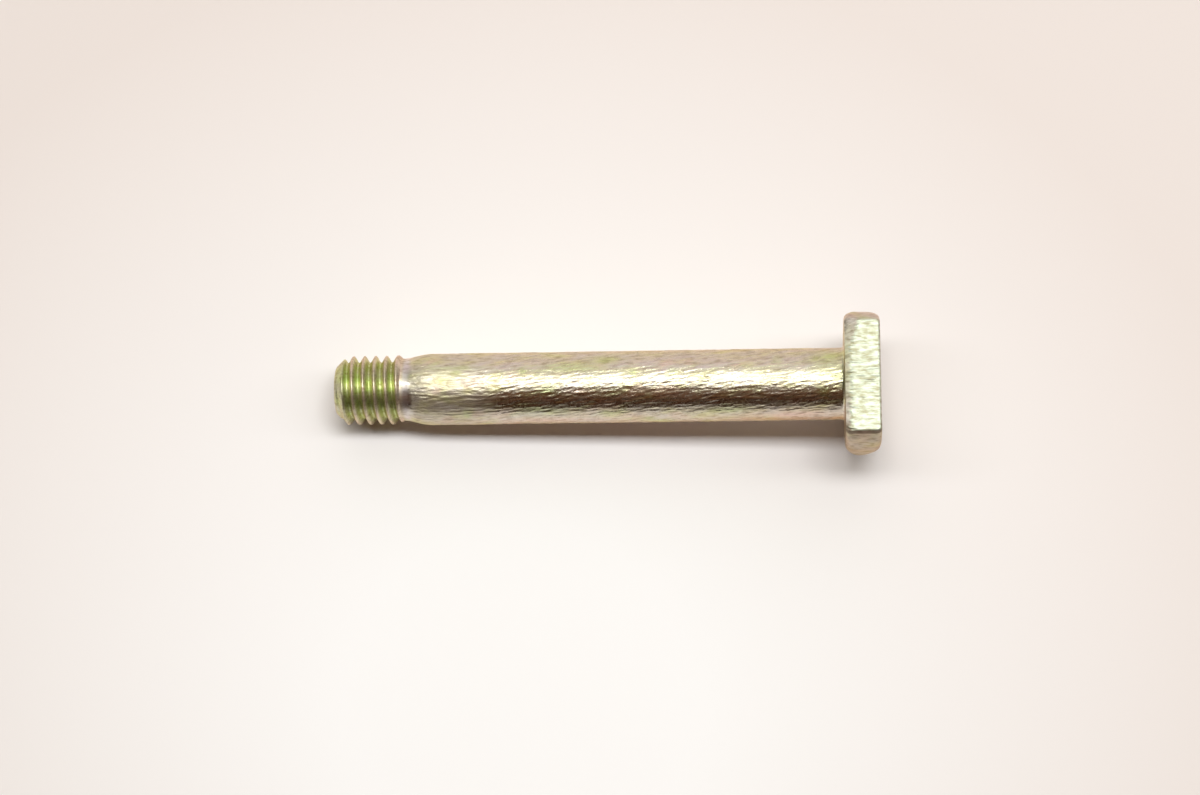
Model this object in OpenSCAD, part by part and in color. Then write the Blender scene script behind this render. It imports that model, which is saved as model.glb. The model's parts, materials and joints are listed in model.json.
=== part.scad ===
// Pivot bolt with a round head that has one flat, a long plain shank and a short rolled thread.
// Millimetres, +Z up. The bolt lies as it comes to rest on a table: on the rim of its head, with the
// flat up, and on a crest of its thread. The head points to +X, and the origin is under its middle.

/* [Shank] */
// Diameter of the plain shank
shank_d = 8; // [7.6:0.1:11]
// Length of the plain shank, from the head's seat to the cone
shank_l = 46.7; // [20:0.1:120]
// Radius of the fillet between the shank and the head's seat
fillet_r = 0.4; // [0.1:0.05:0.5]

/* [Neck] */
// Length of the cone from the shank down to the neck
cone_l = 2.2; // [1:0.1:6]
// Diameter of the neck, which is the blank that the thread is rolled on
neck_d = 7; // [6.9:0.05:7.4]
// Length of the plain neck between the cone and the thread
neck_l = 0.5; // [0.3:0.1:4]

/* [Thread] */
// Outside diameter of the thread
thread_d = 7.8; // [7.6:0.05:8]
// Distance from one crest to the next
pitch = 1.25; // [1:0.05:1.5]
// Length of the thread, from the bolt's end to the run-out
thread_l = 7.5; // [5:0.1:30]
// Length of the cone at the bolt's end
point_l = 1.2; // [0.8:0.05:2]
// Diameter of the flat at the bolt's end
point_d = 5.4; // [5:0.1:6.1]

/* [Head] */
// Diameter of the round head
head_d = 16; // [14:0.1:24]
// Thickness of the head
head_h = 3.9; // [3.2:0.05:8]
// Radius of the head's rim, at both faces
rim_r = 1.3; // [0.5:0.1:1.5]
// Width of the seat that is left between the shank and the flat
flat_land = 1.1; // [0.9:0.05:2]
// Radius of the flat's edge at the seat
seat_edge_r = 0.55; // [0.2:0.05:0.65]
// Radius of the flat's edge at the top of the head
top_edge_r = 0.3; // [0.1:0.05:0.6]

/* [Smoothness] */
// Steps in one turn of the thread
turn_steps = 30; // [24:6:48]
// Segments in a full circle
round_steps = 96; // [48:12:144]

/* [Hidden] */
$fn = round_steps;

shank_r = shank_d / 2;
neck_r = neck_d / 2;
thread_r = thread_d / 2;
point_r = point_d / 2;
head_r = head_d / 2;
// Distance from the bolt's axis to the flat, and to the middle of the rim's rounding
flat_x = shank_r + flat_land;
rim_x = head_r - rim_r;

// Heights along the bolt's own axis, from the end of the thread
neck_z = thread_l + neck_l;
shank_z = neck_z + cone_l;
seat_z = shank_z + shank_l;
top_z = seat_z + head_h;

// Metric thread form: depth of the root, and widths of the crest land and of the root
thread_depth = pitch * 17 / 24 * sin(60);
crest_w = pitch / 8;
root_w = pitch - crest_w - 2 * thread_depth * tan(30);
root_r = thread_r - thread_depth;

// The groove's cutter stands this far out of the crests
cutter_proud = pitch / 20;
// Height of the groove's middle where it starts, clear of the bolt's end
groove_z = -1.27 * pitch;
// Turns of the groove, of which the last half climbs out of the neck
groove_turns = (thread_l - groove_z) / pitch;
runout_turns = 0.5;

// At the underside the bolt rests on the first whole crest, half a pitch after the groove
crests_in_point = ceil((point_l - groove_z) / pitch - 0.5 + crest_w / pitch / 2);
rest_z = groove_z + (crests_in_point + 0.5) * pitch - crest_w / 2;

// Tilt of the axis when the head's rim and that crest both touch the table
rest_rise = rim_x - thread_r;
rest_run = seat_z + rim_r - rest_z;
rest_tilt = atan2(rest_rise, rest_run) + asin(rim_r / norm([rest_rise, rest_run]));
axis_height = thread_r * cos(rest_tilt) - rest_z * sin(rest_tilt);

// Reach of the lying bolt along X, which puts its middle over the origin
reach_head = rim_x * sin(rest_tilt) + (top_z - rim_r) * cos(rest_tilt) + rim_r;
reach_end = -point_r * sin(rest_tilt);
middle_x = (reach_head + reach_end) / 2;

// Quarter-round strip that fills the corner between the shank and the seat
module fillet_profile() {
    translate([shank_r, seat_z - fillet_r])
        difference() {
            square(fillet_r);
            translate([fillet_r, 0])
                circle(fillet_r);
        }
}

// Half section of the shank, the cone, the neck and the thread's outside
module stem_profile() {
    polygon([
        [0, 0],
        [point_r, 0],
        [thread_r, point_l],
        [thread_r, thread_l - (thread_r - neck_r)],
        [neck_r, thread_l],
        [neck_r, neck_z],
        [shank_r, shank_z],
        [shank_r, seat_z + head_h / 2],
        [0, seat_z + head_h / 2]
    ]);
    fillet_profile();
}

// Half section of the round head, with its rim rounded at both faces
module rim_profile() {
    translate([0, seat_z])
        square([rim_x, head_h]);
    translate([0, seat_z + rim_r])
        square([head_r, head_h - 2 * rim_r]);
    for (z = [seat_z + rim_r, top_z - rim_r])
        translate([rim_x, z])
            circle(rim_r);
}

// Section of what the flat leaves of the head, with both edges of the flat rounded
module flat_profile() {
    reach = flat_x + head_d;
    translate([seat_edge_r - flat_x, seat_z + seat_edge_r])
        circle(seat_edge_r);
    translate([top_edge_r - flat_x, top_z - top_edge_r])
        circle(top_edge_r);
    translate([-flat_x, seat_z + seat_edge_r])
        square([reach, head_h - seat_edge_r - top_edge_r]);
    translate([seat_edge_r - flat_x, seat_z])
        square([reach - seat_edge_r, head_h]);
    translate([top_edge_r - flat_x, seat_z + head_h / 2])
        square([reach - top_edge_r, head_h / 2]);
}

// Round upset head, trimmed to a flat on the side that faces up
module head() {
    intersection() {
        rotate_extrude()
            rim_profile();
        rotate([90, 0, 0])
            linear_extrude(2 * head_d, center = true)
                flat_profile();
    }
}

// How far the groove has climbed out of the neck after a number of turns
function groove_lift(turn) = (thread_depth + cutter_proud) * max(0, turn - groove_turns + runout_turns) / runout_turns;

// One section of the groove: outer corner, root, root and outer corner, going up
function groove_section(turn) =
    let (
        lift = groove_lift(turn),
        outer_r = thread_r + cutter_proud + lift,
        inner_r = root_r + lift,
        outer_w = root_w + 2 * (thread_depth + cutter_proud) * tan(30),
        middle = groove_z + turn * pitch
    )
    [for (corner = [[outer_r, -outer_w], [inner_r, -root_w], [inner_r, root_w], [outer_r, outer_w]])
        [corner[0] * cos(360 * turn), corner[0] * sin(360 * turn), middle + corner[1] / 2]];

// Right-hand helical groove, swept as one closed band of four-sided sections
module thread_groove() {
    steps = ceil(groove_turns * turn_steps);
    points = [for (i = [0:steps]) each groove_section(i / turn_steps)];
    sides = [for (i = [0:steps - 1], k = [0:3])
        let (a = 4 * i + k, b = 4 * i + (k + 1) % 4)
        each [[a, b + 4, b], [a, a + 4, b + 4]]];
    ends = [[0, 1, 2, 3], [for (k = [3:-1:0]) 4 * steps + k]];
    polyhedron(points, concat(sides, ends));
}

// Bolt along its own axis, from the end of the thread up to the head
module upright_bolt() {
    difference() {
        rotate_extrude()
            stem_profile();
        thread_groove();
    }
    head();
}

module bolt() {
    color("#c9bd8f")
        translate([-middle_x, 0, axis_height])
            rotate([0, 90 - rest_tilt, 0])
                upright_bolt();
}

bolt();
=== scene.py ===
"""Looks of a pivot bolt, zinc plated with a yellow chromate, lying on a pale table with its flat up."""
import json
import math

import bpy
import numpy as np
from mathutils import Matrix, Vector


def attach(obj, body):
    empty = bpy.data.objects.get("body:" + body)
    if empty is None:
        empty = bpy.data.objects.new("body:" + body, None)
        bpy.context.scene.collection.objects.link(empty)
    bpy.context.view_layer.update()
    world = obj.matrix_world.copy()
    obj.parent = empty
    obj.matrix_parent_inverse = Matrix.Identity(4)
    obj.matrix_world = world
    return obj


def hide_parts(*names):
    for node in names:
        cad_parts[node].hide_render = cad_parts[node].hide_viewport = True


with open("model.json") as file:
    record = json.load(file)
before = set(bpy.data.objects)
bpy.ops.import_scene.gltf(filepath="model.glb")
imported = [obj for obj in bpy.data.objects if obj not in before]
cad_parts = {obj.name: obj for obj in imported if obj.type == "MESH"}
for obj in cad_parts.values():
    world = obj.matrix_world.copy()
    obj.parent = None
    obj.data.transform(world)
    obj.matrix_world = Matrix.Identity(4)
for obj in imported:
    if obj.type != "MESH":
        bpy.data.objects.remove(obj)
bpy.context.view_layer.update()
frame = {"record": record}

MM = 0.001

# The bolt's place in the frame, from the record's mounts
mounts = {mount["name"]: mount for mount in frame["record"]["mounts"]}
axis = -Vector(mounts["shank"]["axis"]).normalized()
shank_middle = Vector(mounts["shank"]["pos_m"])
seat_point = Vector(mounts["head_seat"]["pos_m"])
seat_centre = shank_middle + axis * (seat_point - shank_middle).dot(axis)

# Sizes in millimetres, with heights along the bolt's own axis from the end of the thread.
# Angles round the axis start at the underside and go by the back, which is +Y, to the flat at the top.
SHANK_R = mounts["shank"]["dims"]["r_mm"]
THREAD_R = mounts["thread"]["dims"]["r_mm"]
FILLET_R = 0.4
SHANK_L = mounts["shank"]["dims"]["length_mm"] + FILLET_R
CONE_L = 2.2
NECK_R = 3.5
NECK_L = 0.5
THREAD_L = 7.5
PITCH = 1.25
POINT_L = 1.2
POINT_R = 2.7
HEAD_R = 8.0
HEAD_H = 3.9
FLAT_LAND = 1.1
FLAT = SHANK_R + FLAT_LAND

NECK_Z = THREAD_L + NECK_L
SHANK_Z = NECK_Z + CONE_L
SEAT_Z = SHANK_Z + SHANK_L
TOP_Z = SEAT_Z + HEAD_H

# Metric thread form, as a groove that starts clear of the bolt's end and climbs out of the neck
THREAD_DEPTH = PITCH * 17 / 24 * math.sin(math.radians(60))
CREST_W = PITCH / 8
FLANK_TAN = math.tan(math.radians(30))
ROOT_W = PITCH - CREST_W - 2 * THREAD_DEPTH * FLANK_TAN
GROOVE_Z = -1.27 * PITCH
GROOVE_TURNS = (THREAD_L - GROOVE_Z) / PITCH
RUNOUT_TURNS = 0.5

# Heights over which the corners of the stem and of the groove are rounded
POINT_ROUND = 0.06
RUNOUT_ROUND = 0.15
BLANK_ROUND = 0.1
NECK_ROUND = 0.14
SHANK_ROUND = 0.12
ROOT_ROUND = 0.16
CREST_ROUND = 0.26

# Roundings of the head as depth and length: of its rim at each face and beside the flat,
# and of the flat's edges
SEAT_RIM = (1.4, 1.9)
TOP_RIM = (1.6, 2.5)
SQUARE_RIM = (0.3, 0.6)
SEAT_EDGE = (0.25, 0.8)
TOP_EDGE = (0.3, 0.3)
FLAT_END_R = 0.1
# Angles from the middle of the flat between which the rim's rounding grows to its full size
RIM_GROWTH = (math.radians(45), math.radians(115))
# Angle from the middle of the flat to its ends, and to where its edges stop changing beyond them,
# in radians, and the least share of up in a direction that is set against the flat
FLAT_END = math.acos(FLAT / HEAD_R)
FLAT_REACH = 1.1
LEAST_UP = 0.01
# The flat's edge at the seat is torn: its curve, and the share and limit of the teeth in its length
TORN_CURVE = 1.2
TOOTH_SHARE = 0.3
TOOTH_LIMIT = 1.5
# How much deeper and longer it is torn at the back corner, and where across the flat that sets in
TORN_CORNER = (0.35, 0.9)
TORN_CORNER_FADE = (2.5, 6.5)

# Columns round the bolt, closer together on its upper side and at the two ends of the flat. The fade and
# the width are in radians.
COLUMNS = 240
ANGLE_STEPS = 20000
UPPER_CROWD = 0.9
UPPER_FADE = (1.0, 1.6)
END_CROWD = 2
END_WIDTH = 0.07

# Rings along the bolt: shares of the radius on its two ends, steps and counts in between
END_SHARES = np.linspace(0.1, 0.99, 8)
TOP_SHARES = np.linspace(1, 0.05, 19)[1:]
FIRST_RING_Z = 0.04
THREAD_RINGS_END = THREAD_L + 0.2
THREAD_STEP = 0.065
CONE_RINGS_END = SHANK_Z + 0.6
CONE_STEP = 0.1
SHANK_RINGS = 150
FILLET_STEPS = 5
SEAT_STEPS = 10
RIM_STEPS = 41

# Marks of the die run straight at first, then wind slowly round the shank
STRAIGHT_MARKS_L = 6
MARK_TWIST = math.tan(math.radians(11)) / SHANK_R

# Waves of the relief and of the film: seed, length along the bolt, fewest and most of them round it,
# and how many are added up
MARK_WAVES = (1, 2.2, 16, 66, 80)
SWELL_WAVES = (2, 8, 3, 12, 40)
PIT_WAVES = (3, 1.2, 20, 60, 40)
SHEAR_WAVES = (4, 4, 4, 16, 60)
FACE_WAVES = (5, 5, 1, 5, 40)
GREEN_WAVES = (6, 6, 1, 8, 40)
TOOTH_WAVES = (7, 1, 5, 16, 40)
RIM_WAVES = (8, 4, 4, 24, 40)
PINK_WAVES = (9, 6, 1, 8, 40)

# Depths of the relief. Pits deepen between two levels of their waves, and the flat, the rim and the top
# are plain where their waves rise above LEVEL_OFF.
MARK_DEPTH = 0.010
SWELL_DEPTH = 0.008
PIT_DEPTH = 0.04
SHEAR_DEPTH = 0.018
RIM_DEPTH = 0.03
FACE_DEPTH = 0.03
PIT_LEVELS = (1.7, 2.5)
LEVEL_OFF = 1.5

# Heights between which one zone of the bolt passes into the next
THREAD_FADE = (THREAD_L - 0.1, THREAD_L + 0.5)
NECK_FADE = (NECK_Z + 0.2, NECK_Z + 0.8)
CONE_FADE = (NECK_Z + 0.4, NECK_Z + 1.1)
DRAWN_FADE = (SHANK_Z + 3, SHANK_Z + STRAIGHT_MARKS_L + 4)
FILLET_FADE = (SEAT_Z - FILLET_R, SEAT_Z - FILLET_R / 2)
SEAT_FADE = (SEAT_Z - FILLET_R / 2, SEAT_Z)
# Heights above the axis of the torn edge and of the sheared flat
TORN_FADE = (FLAT - 0.6, FLAT - 0.4)
SHEAR_FADE = (FLAT - 0.12, FLAT - 0.04)
# Distances from the axis on the head
TOP_FADE = (FLAT - 2.5, FLAT - TOP_EDGE[0])
RIM_FADE = (HEAD_R - 2, HEAD_R - 1)
# Where the painted dark band below the flat's front corner reaches out on the rim; it is a painted
# reflection of the dark room in front
PAINTED_DARK_BAND_FADE = (HEAD_R - 1, HEAD_R - 0.4)
# Shares of a direction's Y on the back of the head, and of its reverse on the front, which set where the
# painted shade and reflections on the head fall
BACK_SHADE_FADE = (0, 0.6)
FRONT_PAINTED_BAND_FADE = (0, 0.5)

# Patches where the chromate shows green or pink, and patches of painted orange: place along the bolt,
# degrees from its top towards +Y, half length, half width and strength
GREEN_PATCHES = (
    (13.5, 25, 3.4, 0.3, 0.6),
    (24.2, -18, 1.3, 0.5, 0.9),
    (23.3, -47, 3.0, 0.7, 0.7),
    (26.9, -53, 1.6, 0.5, 0.6),
    (26.4, 25, 4.0, 0.7, 0.5),
    (30.5, 36, 2.2, 0.8, 0.6),
    (30.9, -54, 1.6, 0.5, 0.6),
    (44.2, -54, 1.9, 0.5, 0.8),
    (54.9, 32, 2.8, 1.1, 0.8),
    (57.0, 5, 1.5, 2.0, 0.5),
    (20, 120, 5.0, 2.2, 0.7),
    (47, -140, 6.0, 2.0, 0.7),
)
PINK_PATCHES = (
    (24.3, -75, 7.0, 0.6, 0.9),
    (27.5, -17, 1.3, 0.4, 0.6),
    (33.5, -63, 1.8, 0.6, 0.6),
    (51.5, -68, 6.5, 0.9, 0.9),
    (36, 150, 7.0, 2.0, 0.7),
)
# Painted orange: the two narrow patches at the edges near the head are painted sheen where the metal is
# seen at a low angle, and the long one on the underside warms the light that the bolt throws back into
# its shadow
PAINTED_ORANGE_PATCHES = (
    (36, 180, 36.0, 3.6, 1.0),
    (54, -82, 8.0, 0.5, 0.8),
    (55, 84, 5.0, 0.5, 0.7),
)
# Strength of the faint clouds between the patches, and the levels of their waves
CLOUD_STRENGTH = 0.5
CLOUD_LEVELS = (0.9, 2.2)
# Share of the painted orange that is left on the head
HEAD_ORANGE = 0.3
# Green of the thread: shares on its end face and on its crests, and where the end face passes into it
END_GREEN = 0.2
END_FADE = (0, 0.3)
CREST_GREEN = 0.55
# Pink of the thread's crests, and where it sets in past the point
CREST_PINK = 0.8
POINT_FADE = (0.8 * POINT_L, 1.2 * POINT_L)
# Grey film on the torn edge, beside that of the neck, and on the back of the rim a painted grey
# reflection of the bright room behind
RIM_BACK_PAINTED_GREY = 0.8
TORN_GREY = 0.7
# Darkening of the rim, in front and behind, partly its duller forged skin and, stronger in front, painted
# shade where it mirrors the shadowed table; and of the thread's grooves, which is painted shade
RIM_DULL_AND_PAINTED_SHADE = (0.45, 0.15)
GROOVE_PAINTED_SHADE = 0.1

# Roughness of the plain shank and of other zones, and what some places add to it
SHANK_ROUGHNESS = 0.26
ZONE_ROUGHNESS = {"thread": 0.4, "neck": 0.36, "head": 0.4}
ADDED_ROUGHNESS = {"drawn": 0.22, "shear": 0.15, "torn": 0.3}
# Strength of the fine grain everywhere, and what two zones add to it
PLAIN_GRAIN = 0.12
ADDED_GRAIN = {"shank": 0.88, "head": 0.7}


def smooth_min(a, b, k):
    """Lesser of a and b, with the corner between them rounded over a height of about k."""
    h = np.clip(0.5 + 0.5 * (b - a) / k, 0, 1)
    return b + (a - b) * h - k * h * (1 - h)


def smooth_max(a, b, k):
    return -smooth_min(-a, -b, k)


def smooth_step(x, low, high):
    t = np.clip((x - low) / (high - low), 0, 1)
    return t * t * (3 - 2 * t)


def wave_noise(along, around, seed, along_mm, fewest, most, terms):
    """Smooth noise of unit size, from waves of about along_mm along the bolt and some number round it."""
    draw = np.random.default_rng(seed)
    total = np.zeros(np.broadcast(along, around).shape)
    for _ in range(terms):
        pace = draw.normal() * 2 * math.pi / along_mm
        count = draw.integers(fewest, most + 1) * draw.choice((-1, 1))
        total += np.cos(along * pace + around * count + draw.uniform(0, 2 * math.pi))
    return total / math.sqrt(terms / 2)


def stem_radius(z):
    """Outside radius of the thread, the neck, the cone and the shank at height z."""
    point = POINT_R + (THREAD_R - POINT_R) * z / POINT_L
    runout = NECK_R + THREAD_L - z
    crests = smooth_min(np.full_like(z, THREAD_R), runout, RUNOUT_ROUND)
    cone = NECK_R + (SHANK_R - NECK_R) * (z - NECK_Z) / CONE_L
    shank = smooth_min(cone, np.full_like(z, SHANK_R), SHANK_ROUND)
    body = smooth_max(np.full_like(z, NECK_R), shank, NECK_ROUND)
    return smooth_min(point, smooth_max(crests, body, BLANK_ROUND), POINT_ROUND)


def groove_radius(z, angle):
    """Radius of the helical groove's surface at height z. Past the thread it lies outside the stem."""
    turn = (z - GROOVE_Z) / PITCH - angle / (2 * math.pi)
    nearest = np.round(turn)
    offset = np.abs(turn - nearest) * PITCH
    at_turn = nearest + angle / (2 * math.pi)
    climb = np.maximum((at_turn - GROOVE_TURNS + RUNOUT_TURNS) / RUNOUT_TURNS, 0)
    root = THREAD_R - THREAD_DEPTH
    flank = root + (offset - ROOT_W / 2) / FLANK_TAN
    return smooth_max(flank, np.full_like(flank, root), ROOT_ROUND) + climb * THREAD_DEPTH


def rounding(from_face, depth, length):
    """How far an edge of the given depth and length falls short at a distance from its face."""
    short = np.clip(1 - from_face / length, 0, 1)
    return depth * (1 - np.sqrt(1 - short**2))


def rim_radius(angle, height):
    """Radius of the round rim at a height above the seat. Its rounding grows away from the flat."""
    growth = smooth_step(np.abs(math.pi - angle), *RIM_GROWTH)
    radius = np.full_like(angle, HEAD_R)
    for from_face, full in ((height, SEAT_RIM), (HEAD_H - height, TOP_RIM)):
        depth, length = (least + (most - least) * growth for least, most in zip(SQUARE_RIM, full))
        radius -= rounding(from_face, depth, length)
    return radius


def flat_distance(angle, height):
    """Distance of the flat from the axis at a height above the seat, less at both of its edges."""
    across = FLAT * np.tan(np.clip(math.pi - angle, -FLAT_REACH, FLAT_REACH))
    teeth = np.clip(wave_noise(0, across, *TOOTH_WAVES), -TOOTH_LIMIT, TOOTH_LIMIT)
    corner = smooth_step(across, *TORN_CORNER_FADE)
    torn_depth = SEAT_EDGE[0] + TORN_CORNER[0] * corner
    torn_length = SEAT_EDGE[1] * (1 + TOOTH_SHARE * teeth) + TORN_CORNER[1] * corner
    torn = np.clip(1 - height / torn_length, 0, 1)
    return FLAT - torn_depth * torn**TORN_CURVE - rounding(HEAD_H - height, *TOP_EDGE)


def head_radius(angle, height):
    """Radius of the head's outline at a height above the seat: its rim, with the flat at the top."""
    upward = np.maximum(-np.cos(angle), LEAST_UP)
    return smooth_min(flat_distance(angle, height) / upward, rim_radius(angle, height), FLAT_END_R)


def column_angles():
    """Angles of the columns, from the bolt's underside round by its back."""
    fine = np.linspace(0, 2 * math.pi, ANGLE_STEPS + 1)
    from_top = np.abs(fine - math.pi)
    crowd = 1 + UPPER_CROWD * (1 - smooth_step(from_top, *UPPER_FADE))
    crowd += END_CROWD * np.exp(-(((from_top - FLAT_END) / END_WIDTH) ** 2))
    crowd = np.cumsum(crowd)
    crowd = (crowd - crowd[0]) / (crowd[-1] - crowd[0])
    return np.interp(np.arange(COLUMNS) / COLUMNS, crowd, fine)


def stem_heights():
    """Heights of the rings from the bolt's end to the fillet."""
    thread = np.arange(FIRST_RING_Z, THREAD_RINGS_END, THREAD_STEP)
    cone = np.arange(THREAD_RINGS_END, CONE_RINGS_END, CONE_STEP)
    shank = np.linspace(CONE_RINGS_END, SEAT_Z - FILLET_R, SHANK_RINGS)
    return np.concatenate([thread, cone, shank])


def bolt_rings():
    """Rings from the bolt's end to the top of its head, as heights and radii, one row a ring."""
    angle = column_angles()
    rings = []

    def add(height, radius):
        rings.append((np.broadcast_to(height, angle.shape), np.broadcast_to(radius, angle.shape)))

    for share in END_SHARES:
        add(0, POINT_R * share)
    for z in stem_heights():
        height = np.full_like(angle, z)
        add(z, smooth_min(stem_radius(height), groove_radius(height, angle), CREST_ROUND))
    for bend in np.linspace(0, math.pi / 2, FILLET_STEPS + 1)[1:]:
        add(SEAT_Z - FILLET_R * (1 - math.sin(bend)), SHANK_R + FILLET_R * (1 - math.cos(bend)))
    inner = SHANK_R + FILLET_R
    seat_edge = head_radius(angle, 0)
    for share in np.linspace(0, 1, SEAT_STEPS + 1)[1:]:
        add(SEAT_Z, inner + (seat_edge - inner) * share)
    for bend in np.linspace(0, math.pi, RIM_STEPS + 1)[1:]:
        height = HEAD_H / 2 * (1 - math.cos(bend))
        add(SEAT_Z + height, head_radius(angle, height))
    top_edge = head_radius(angle, HEAD_H)
    for share in TOP_SHARES:
        add(TOP_Z, top_edge * share)
    heights = np.array([ring[0] for ring in rings])
    radii = np.array([ring[1] for ring in rings])
    return angle, heights, radii


def wound_angle(heights, angle):
    """Angle that stays the same along a die mark."""
    past_straight = np.clip(heights - SHANK_Z - STRAIGHT_MARKS_L, 0, SHANK_L - STRAIGHT_MARKS_L)
    return angle + MARK_TWIST * past_straight


def surface_zones(angle, heights, radii):
    """Shares, from 0 to 1, of the places that the bolt's making left different, and of a painted dark
    band on the rim below the flat's front corner.
    """
    thread = 1 - smooth_step(heights, *THREAD_FADE)
    shank = smooth_step(heights, *CONE_FADE) * (1 - smooth_step(heights, *FILLET_FADE))
    head = smooth_step(heights, *SEAT_FADE)
    upward = -radii * np.cos(angle)
    shear = head * smooth_step(upward, *SHEAR_FADE)
    torn = head * (1 - shear) * smooth_step(upward, *TORN_FADE)
    front = smooth_step(-np.sin(angle), *FRONT_PAINTED_BAND_FADE)
    return {
        "thread": thread,
        "groove": thread * np.clip((stem_radius(heights) - radii) / THREAD_DEPTH, 0, 1),
        "neck": (1 - thread) * (1 - smooth_step(heights, *NECK_FADE)),
        "shank": shank,
        "drawn": shank * (1 - smooth_step(heights, *DRAWN_FADE)),
        "head": head,
        "shear": shear,
        "torn": torn,
        # Painted dark band on the rim below the flat's front corner: a painted reflection of the dark
        # room in front
        "painted_dark_band": torn * smooth_step(radii, *PAINTED_DARK_BAND_FADE) * front,
        "rim": head * (1 - shear) * (1 - torn) * smooth_step(radii, *RIM_FADE),
        "top": (heights == TOP_Z) * (1 - smooth_step(radii, *TOP_FADE)),
    }


def levelled(depth, waves):
    """Relief that only goes down from the plain surface."""
    return depth * np.minimum(waves - LEVEL_OFF, 0)


def add_relief(angle, heights, radii, zones):
    """Marks, swells and pits of the shank, shear marks of the flat, and the head's forged rim and top."""
    wound = wound_angle(heights, angle)
    shank = MARK_DEPTH * wave_noise(heights, wound, *MARK_WAVES)
    shank = shank + SWELL_DEPTH * wave_noise(heights, wound, *SWELL_WAVES)
    shank = shank - PIT_DEPTH * smooth_step(wave_noise(heights, wound, *PIT_WAVES), *PIT_LEVELS)
    shear = levelled(SHEAR_DEPTH, wave_noise(heights, radii * np.sin(angle), *SHEAR_WAVES))
    rim = levelled(RIM_DEPTH, wave_noise(heights, angle, *RIM_WAVES))
    dents = levelled(FACE_DEPTH, wave_noise(radii, angle, *FACE_WAVES))
    radii = radii + zones["shank"] * shank + zones["shear"] * shear + zones["rim"] * rim
    heights = heights + zones["top"] * dents
    return heights, radii


def patch_strength(patches, angle, heights):
    """Strength, from 0 to 1, of soft patches on the bolt."""
    strength = np.zeros(np.broadcast(angle, heights).shape)
    for along, turn, half_length, half_width, peak in patches:
        off = np.angle(np.exp(1j * (math.pi - angle - math.radians(turn))))
        near = np.exp(-(((heights - along) / half_length) ** 2) - (SHANK_R * off / half_width) ** 2)
        strength = np.maximum(strength, peak * near)
    return strength


def cloudy_patches(patches, waves, angle, heights):
    """Strength of a film in its patches, with faint clouds of it between them."""
    clouds = CLOUD_STRENGTH * smooth_step(wave_noise(heights, angle, *waves), *CLOUD_LEVELS)
    return np.maximum(clouds, patch_strength(patches, angle, heights))


def green_strength(angle, heights, zones):
    """Green of the thick film in the thread's grooves and in some patches."""
    plain = cloudy_patches(GREEN_PATCHES, GREEN_WAVES, angle, heights)
    film = zones["thread"] * (END_GREEN + (1 - END_GREEN) * smooth_step(heights, *END_FADE))
    grooves = CREST_GREEN + (1 - CREST_GREEN) * zones["groove"]
    return plain * (1 - zones["thread"]) + film * grooves


def pink_strength(angle, heights, zones):
    """Pink of the film on the thread's crests and in some patches."""
    plain = cloudy_patches(PINK_PATCHES, PINK_WAVES, angle, heights)
    crests = CREST_PINK * zones["thread"] * smooth_step(heights, *POINT_FADE)
    return plain * (1 - zones["thread"]) + crests * np.clip(1 - 2 * zones["groove"], 0, 1)


def weigh_zones(zones, weights):
    """Sum of some zones, each times its weight."""
    return sum(weight * zones[name] for name, weight in weights.items())


def zone_roughness(zones):
    plain = math.prod(1 - zones[name] for name in ZONE_ROUGHNESS)
    rough = SHANK_ROUGHNESS * plain + weigh_zones(zones, ZONE_ROUGHNESS)
    return rough + weigh_zones(zones, ADDED_ROUGHNESS)


def place_values(angle, heights, zones):
    """What the material needs of each place, by the name of its attribute."""
    # The rim's darkening is partly its duller forged skin and, stronger in front, painted shade where it
    # mirrors the shadowed table; the thread's grooves get painted shade
    back = smooth_step(np.sin(angle), *BACK_SHADE_FADE)
    rim_dull_and_painted_shade = RIM_DULL_AND_PAINTED_SHADE[0] + (RIM_DULL_AND_PAINTED_SHADE[1] - RIM_DULL_AND_PAINTED_SHADE[0]) * back
    # Painted orange sheen at the edges near the head, and a warm underside for the light thrown into the
    # shadow
    painted_orange = patch_strength(PAINTED_ORANGE_PATCHES, angle, heights)
    return {
        "green": green_strength(angle, heights, zones),
        "pink": pink_strength(angle, heights, zones),
        "painted_orange": painted_orange * (1 - (1 - HEAD_ORANGE) * zones["head"]),
        # Grey film on the neck and the torn edge; on the back of the rim it is a painted reflection of
        # the bright room behind
        "grey_film_and_painted_reflection": zones["neck"] + RIM_BACK_PAINTED_GREY * back * zones["rim"] + TORN_GREY * zones["torn"],
        # Painted shade on the rim's front, in the thread's grooves and in the dark band, with the duller
        # forged skin of the rim
        "dull_and_painted_shade": rim_dull_and_painted_shade * zones["rim"] + GROOVE_PAINTED_SHADE * zones["groove"] + zones["painted_dark_band"],
        "shear": zones["shear"],
        "rough": zone_roughness(zones),
        "grain": PLAIN_GRAIN + weigh_zones(zones, ADDED_GRAIN),
    }


def ring_points(angle, heights, radii):
    """Points of the rings and of the two ends: along the bolt, then down and across it."""
    points = np.stack([heights, radii * np.cos(angle), radii * np.sin(angle)], -1).reshape(-1, 3)
    return np.concatenate([points, [[0, 0, 0], [TOP_Z, 0, 0]]])


def ring_faces(rows):
    """Quads between neighbouring rings, and triangles that close both ends."""
    columns = np.arange(COLUMNS)
    following = (columns + 1) % COLUMNS
    quads = []
    for row in range(rows - 1):
        low, high = row * COLUMNS, (row + 1) * COLUMNS
        quads.append(np.stack([low + columns, low + following, high + following, high + columns], 1))
    quads = np.concatenate(quads)
    first, last = rows * COLUMNS, rows * COLUMNS + 1
    end = np.stack([np.full(COLUMNS, first), following, columns], 1)
    top_row = (rows - 1) * COLUMNS
    top = np.stack([np.full(COLUMNS, last), top_row + columns, top_row + following], 1)
    return quads.tolist() + end.tolist() + top.tolist()


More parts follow.
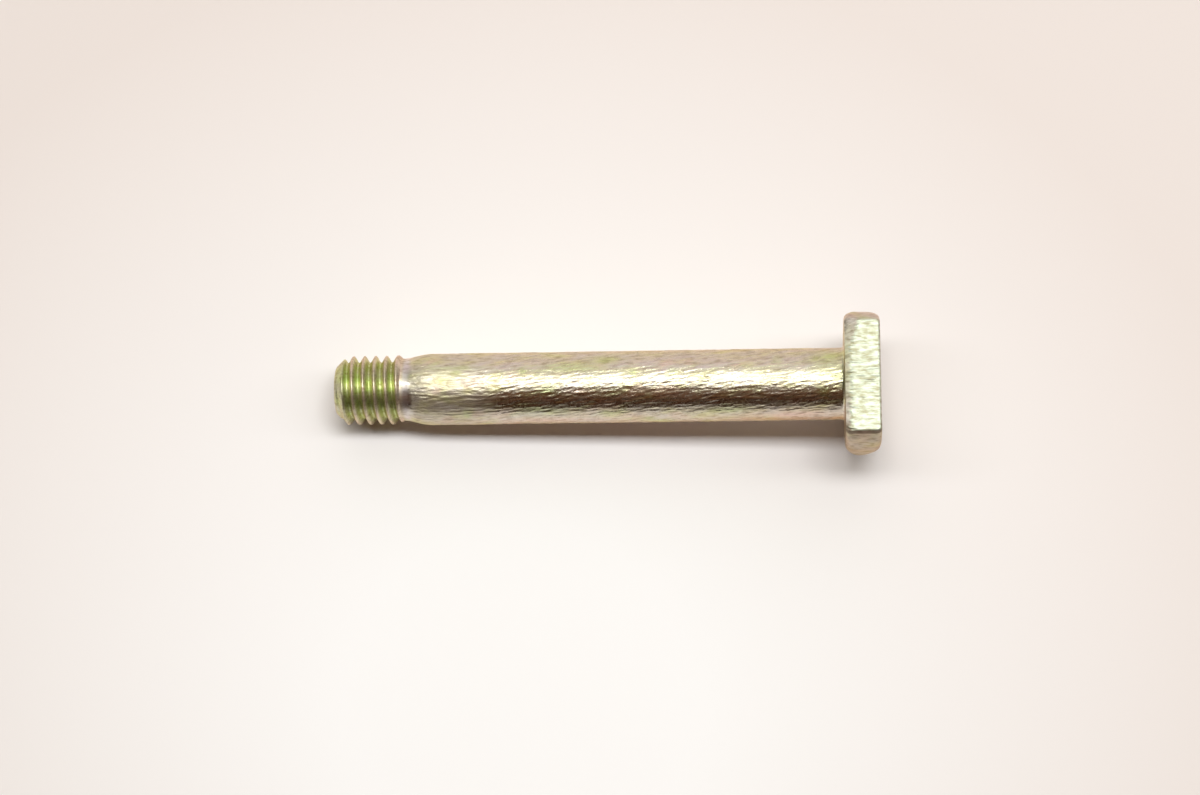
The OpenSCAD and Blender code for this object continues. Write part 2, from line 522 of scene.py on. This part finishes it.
def in_frame(points):
    """Places in the row frame of points of the bolt."""
    across = Vector((0, 1, 0))
    down = across.cross(axis)
    end_centre = seat_centre - axis * SEAT_Z * MM
    return np.array(end_centre) + points * MM @ np.array((axis, down, across))


def set_attribute(mesh, name, values):
    """Gives each point a number, with the two end points like the rings next to them."""
    values = np.broadcast_to(values, (len(mesh.vertices) // COLUMNS, COLUMNS))
    flat = np.concatenate([values.ravel(), [values[0].mean(), values[-1].mean()]])
    mesh.attributes.new(name, "FLOAT", "POINT").data.foreach_set("value", flat.astype(np.float32))


def make_bolt():
    """One closed mesh in the row frame. Its attributes carry what the material needs of each place."""
    angle, heights, radii = bolt_rings()
    zones = surface_zones(angle, heights, radii)
    values = place_values(angle, heights, zones)
    grain_points = ring_points(wound_angle(heights, angle), heights, radii)
    heights, radii = add_relief(angle, heights, radii, zones)
    points = in_frame(ring_points(angle, heights, radii))
    mesh = bpy.data.meshes.new("plated_bolt")
    mesh.from_pydata(points.tolist(), [], ring_faces(len(heights)))
    mesh.update()
    mesh.polygons.foreach_set("use_smooth", [True] * len(mesh.polygons))
    grain_mm = mesh.attributes.new("grain_mm", "FLOAT_VECTOR", "POINT")
    grain_mm.data.foreach_set("vector", grain_points.astype(np.float32).ravel())
    for name, numbers in values.items():
        set_attribute(mesh, name, numbers)
    piece = bpy.data.objects.new("plated_bolt", mesh)
    bpy.context.scene.collection.objects.link(piece)
    return piece


def add_node(tree, kind, inputs=None, **settings):
    """Adds a shader node. Each input named or numbered takes a value, or the output of another node."""
    node = tree.nodes.new("ShaderNode" + kind)
    for name, value in settings.items():
        setattr(node, name, value)
    for key, value in (inputs or {}).items():
        if isinstance(value, bpy.types.NodeSocket):
            tree.links.new(value, node.inputs[key])
        else:
            node.inputs[key].default_value = value
    return node


def read_attribute(tree, name, output="Fac"):
    return add_node(tree, "Attribute", attribute_name=name).outputs[output]


def stretched_noise(tree, coordinates, along, scale, detail, roughness):
    """Noise drawn out along the bolt: `along` is its pace there beside its pace across."""
    stretched = add_node(tree, "VectorMath", {0: coordinates, 1: (along, 1, 1)}, operation="MULTIPLY")
    vector = stretched.outputs[0]
    inputs = {"Vector": vector, "Scale": scale, "Detail": detail, "Roughness": roughness}
    return add_node(tree, "TexNoise", inputs).outputs["Fac"]


def remap(tree, value, low, high, to_low, to_high):
    inputs = {"Value": value, "From Min": low, "From Max": high, "To Min": to_low, "To Max": to_high}
    return add_node(tree, "MapRange", inputs).outputs["Result"]


def combine(tree, operation, a, b):
    return add_node(tree, "Math", {0: a, 1: b}, operation=operation).outputs[0]


def mix_colours(tree, share, a, b, blend="MIX"):
    inputs = {0: share, 6: a, 7: b}
    return add_node(tree, "Mix", inputs, data_type="RGBA", blend_type=blend).outputs[2]


def colour_ramp(tree, value, stops):
    """Colour that runs through the stops, each a place from 0 to 1 and a colour."""
    node = add_node(tree, "ValToRGB", {"Fac": value})
    elements = node.color_ramp.elements
    for place, colour in stops[1:-1]:
        elements.new(place).color = (*colour, 1)
    for element, (place, colour) in ((elements[0], stops[0]), (elements[-1], stops[-1])):
        element.position = place
        element.color = (*colour, 1)
    return node.outputs["Color"]


# Colours of zinc under a chromate film, from a thin film to a thick one
FILM_COLOURS = (
    (0.30, (0.68, 0.64, 0.58)),
    (0.50, (0.69, 0.65, 0.51)),
    (0.70, (0.71, 0.69, 0.42)),
)
# Grey film of the neck and the torn edge, also painted on the rim's back as a reflection of the bright
# room behind
GREY_FILM_AND_PAINTED_REFLECTION = (0.74, 0.70, 0.67, 1)
GREEN_FILM = (0.58, 0.70, 0.30, 1)
PINK_FILM = (0.76, 0.58, 0.52, 1)
# Painted orange: sheen at the low-angle edges near the head, and on the underside a warm tint for the
# light the bolt throws into its shadow
PAINTED_ORANGE = (0.62, 0.35, 0.17, 1)
# Shade of the die marks, and of the sheared flat, from their bottoms up
MARK_SHADES = ((0.32, (0.68, 0.63, 0.57)), (0.54, (1, 1, 1)))
SHEAR_COLOURS = ((0.36, (0.45, 0.44, 0.30)), (0.58, (0.58, 0.64, 0.53)))
# Darkening of the rim, partly its duller forged skin and, stronger in front, painted shade; painted shade
# in the thread's grooves; and the painted dark band at the flat's front corner
DULLING_AND_PAINTED_SHADE = (0.50, 0.46, 0.40, 1)
# Tint of the metal where it is seen at a low angle
EDGE_TINT = (1, 0.78, 0.64, 1)

# Noises of the metal: pace along the bolt beside that across it, scale to a millimetre, detail, roughness
CLOUD_NOISE = (0.35, 0.9, 3, 0.55)
STREAK_NOISE = (0.3, 3.0, 4, 0.62)
FINE_NOISE = (0.4, 7, 3, 0.55)
# Range of the clouds, and the share of a coloured film at its two ends
FILM_BREAKS = (0.35, 0.65, 0.5, 1.1)
# Range of the streaks, and the roughness that they add at its two ends
STREAK_ROUGHNESS = (0.3, 0.7, 0.07, -0.07)
# The grain is made of the streaks and a share of the fine noise, with a height in millimetres
FINE_SHARE = 0.5
GRAIN_MIDDLE = (1 + FINE_SHARE) / 2
GRAIN_HEIGHT = 0.055


def metal_colour(tree, clouds, streaks):
    """Film of uneven thickness in several colours, with dull places that are partly painted shade, die
    marks and the sheared flat, and painted grey reflection and painted orange.
    """
    colour = colour_ramp(tree, clouds, FILM_COLOURS)
    colour = mix_colours(tree, read_attribute(tree, "grey_film_and_painted_reflection"), colour, GREY_FILM_AND_PAINTED_REFLECTION)
    breaks = remap(tree, clouds, *FILM_BREAKS)
    for name, film in (("green", GREEN_FILM), ("pink", PINK_FILM), ("painted_orange", PAINTED_ORANGE)):
        strength = combine(tree, "MULTIPLY", read_attribute(tree, name), breaks)
        colour = mix_colours(tree, strength, colour, film)
    colour = mix_colours(tree, 1.0, colour, colour_ramp(tree, streaks, MARK_SHADES), "MULTIPLY")
    # Painted shade on the rim, in the grooves and in the dark band, with the rim's duller forged skin
    colour = mix_colours(tree, read_attribute(tree, "dull_and_painted_shade"), colour, DULLING_AND_PAINTED_SHADE, "MULTIPLY")
    sheared = colour_ramp(tree, streaks, SHEAR_COLOURS)
    return mix_colours(tree, read_attribute(tree, "shear"), colour, sheared)


def metal_grain(tree, streaks, fine):
    """Normal of the fine grain that the die, the forging and the plating leave."""
    grain = combine(tree, "ADD", combine(tree, "MULTIPLY", fine, FINE_SHARE), streaks)
    grain = combine(tree, "SUBTRACT", grain, GRAIN_MIDDLE)
    grain = combine(tree, "MULTIPLY", grain, read_attribute(tree, "grain"))
    inputs = {"Strength": 1.0, "Distance": GRAIN_HEIGHT * MM, "Height": grain}
    return add_node(tree, "Bump", inputs).outputs["Normal"]


def plated_steel():
    """Zinc plate under a chromate film, with die marks, fine grain and a sheared flat."""
    material = bpy.data.materials.new("plated_steel")
    material.use_nodes = True
    tree = material.node_tree
    shader = tree.nodes["Principled BSDF"]
    grain_mm = read_attribute(tree, "grain_mm", "Vector")
    clouds = stretched_noise(tree, grain_mm, *CLOUD_NOISE)
    streaks = stretched_noise(tree, grain_mm, *STREAK_NOISE)
    fine = stretched_noise(tree, grain_mm, *FINE_NOISE)
    uneven = remap(tree, streaks, *STREAK_ROUGHNESS)
    rough = combine(tree, "ADD", read_attribute(tree, "rough"), uneven)
    tree.links.new(metal_colour(tree, clouds, streaks), shader.inputs["Base Color"])
    tree.links.new(rough, shader.inputs["Roughness"])
    tree.links.new(metal_grain(tree, streaks, fine), shader.inputs["Normal"])
    shader.inputs["Metallic"].default_value = 1
    shader.inputs["Specular Tint"].default_value = EDGE_TINT
    return material


# Camera of the photograph: the picture's size, the focal length and the place of the bolt's middle in
# pixels, and the lean from upright in degrees
PICTURE_W = 1200
PICTURE_H = 795
FOCAL_PX = 2550
BOLT_PX = (608, 387)
CAMERA_LEAN = 11
CAMERA_DISTANCE = 285.6 * MM
CLIP_START = 10 * MM
SENSOR_MM = 36


def make_camera():
    """Looks down on the middle of the bolt's axis, which it places at BOLT_PX in the picture."""
    lean = math.radians(CAMERA_LEAN)
    view = Vector((0, -math.sin(lean), math.cos(lean)))
    right = Vector((1, 0, 0))
    up = view.cross(right)
    target = seat_centre + axis * (-seat_centre.x / axis.x)
    metres_per_px = CAMERA_DISTANCE / FOCAL_PX
    aside = (BOLT_PX[0] - PICTURE_W / 2) * metres_per_px
    below = (BOLT_PX[1] - PICTURE_H / 2) * metres_per_px
    data = bpy.data.cameras.new("camera")
    data.sensor_width = SENSOR_MM
    data.sensor_fit = "HORIZONTAL"
    data.lens = FOCAL_PX / PICTURE_W * SENSOR_MM
    data.clip_start = CLIP_START
    camera = bpy.data.objects.new("camera", data)
    camera.matrix_world = Matrix((right, up, view)).transposed().to_4x4()
    camera.matrix_world.translation = target + view * CAMERA_DISTANCE - right * aside + up * below
    bpy.context.scene.collection.objects.link(camera)
    bpy.context.scene.camera = camera


# Pale table top, with painted shade that darkens it away from a place in front of the bolt, like the
# falloff of a lamp. Lengths are in metres.
TABLE_HALF = 1.5
TABLE_NEAR = (0.975, 0.975, 0.99, 1)
TABLE_FAR_PAINTED_SHADE = (0.82, 0.755, 0.73, 1)
TABLE_PAINTED_LIGHT_MIDDLE = (-0.01, -0.035, 0)
TABLE_PAINTED_SHADE_FADE = (0.02, 0.09)
TABLE_ROUGHNESS = 0.7
TABLE_SPECULAR = 0.2


def pale_table():
    material = bpy.data.materials.new("table")
    material.use_nodes = True
    tree = material.node_tree
    shader = tree.nodes["Principled BSDF"]
    place = add_node(tree, "NewGeometry").outputs["Position"]
    away = add_node(tree, "VectorMath", {0: place, 1: TABLE_PAINTED_LIGHT_MIDDLE}, operation="DISTANCE")
    share = remap(tree, away.outputs["Value"], *TABLE_PAINTED_SHADE_FADE, 0, 1)
    # Painted shade: the table darkens away from its brightest place
    tree.links.new(mix_colours(tree, share, TABLE_NEAR, TABLE_FAR_PAINTED_SHADE), shader.inputs["Base Color"])
    shader.inputs["Roughness"].default_value = TABLE_ROUGHNESS
    shader.inputs["Specular IOR Level"].default_value = TABLE_SPECULAR
    return material


def make_floor():
    mesh = bpy.data.meshes.new("table")
    corners = [(TABLE_HALF * x, TABLE_HALF * y, 0) for x, y in ((-1, -1), (1, -1), (1, 1), (-1, 1))]
    mesh.from_pydata(corners, [], [(0, 1, 2, 3)])
    floor = bpy.data.objects.new("table", mesh)
    bpy.context.scene.collection.objects.link(floor)
    mesh.materials.append(pale_table())


# A strip light and a lamp hang overhead, a little behind the bolt. Both have this lean from upright, in
# degrees, and this distance in metres. Each has a name, a place along X, a size and a power.
KEY_LEAN = 8.5
KEY_DISTANCE = 0.42
KEYS = (
    ("strip", 0.1, (1.2, 0.085), 1.55),
    ("lamp", 0.04, (0.24, 0.085), 0.66),
)
# The room is dark in front of the bolt and bright behind it: colours from 0 at -Y to 1 at +Y
ROOM_COLOURS = (
    (0.10, (0.03, 0.008, 0.002)),
    (0.22, (0.20, 0.08, 0.035)),
    (0.36, (0.14, 0.095, 0.06)),
    (0.48, (0.09, 0.06, 0.035)),
    (0.58, (0.32, 0.26, 0.09)),
    (0.70, (0.68, 0.65, 0.38)),
    (0.84, (0.94, 0.95, 0.92)),
    (0.96, (0.95, 0.77, 0.79)),
)
# It falls off to its sides by a share, between two sizes of a direction's X
ROOM_SIDES = (0.25, 0.75)
ROOM_FALL = 0.75
BLACK = (0, 0, 0, 1)


def make_keys():
    lean = math.radians(KEY_LEAN)
    for name, aside, size, power in KEYS:
        data = bpy.data.lights.new(name, "AREA")
        data.shape = "RECTANGLE"
        data.size, data.size_y = size
        data.energy = power
        key = bpy.data.objects.new(name, data)
        key.location = (aside, KEY_DISTANCE * math.sin(lean), KEY_DISTANCE * math.cos(lean))
        key.rotation_euler = (-lean, 0, 0)
        bpy.context.scene.collection.objects.link(key)


def make_room():
    world = bpy.data.worlds.new("room")
    world.use_nodes = True
    tree = world.node_tree
    direction = add_node(tree, "TexCoord").outputs["Generated"]
    parts = add_node(tree, "SeparateXYZ", {"Vector": direction}).outputs
    colour = colour_ramp(tree, remap(tree, parts["Y"], -1, 1, 0, 1), ROOM_COLOURS)
    aside = add_node(tree, "Math", {0: parts["X"]}, operation="ABSOLUTE").outputs[0]
    colour = mix_colours(tree, remap(tree, aside, *ROOM_SIDES, 0, ROOM_FALL), colour, BLACK)
    tree.links.new(colour, tree.nodes["Background"].inputs["Color"])
    bpy.context.scene.world = world


make_camera()
make_floor()
make_keys()
make_room()

bolt = make_bolt()
bolt.data.materials.append(plated_steel())
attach(bolt, "root")
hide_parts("bolt")

bpy.context.scene.view_settings.view_transform = "Standard"
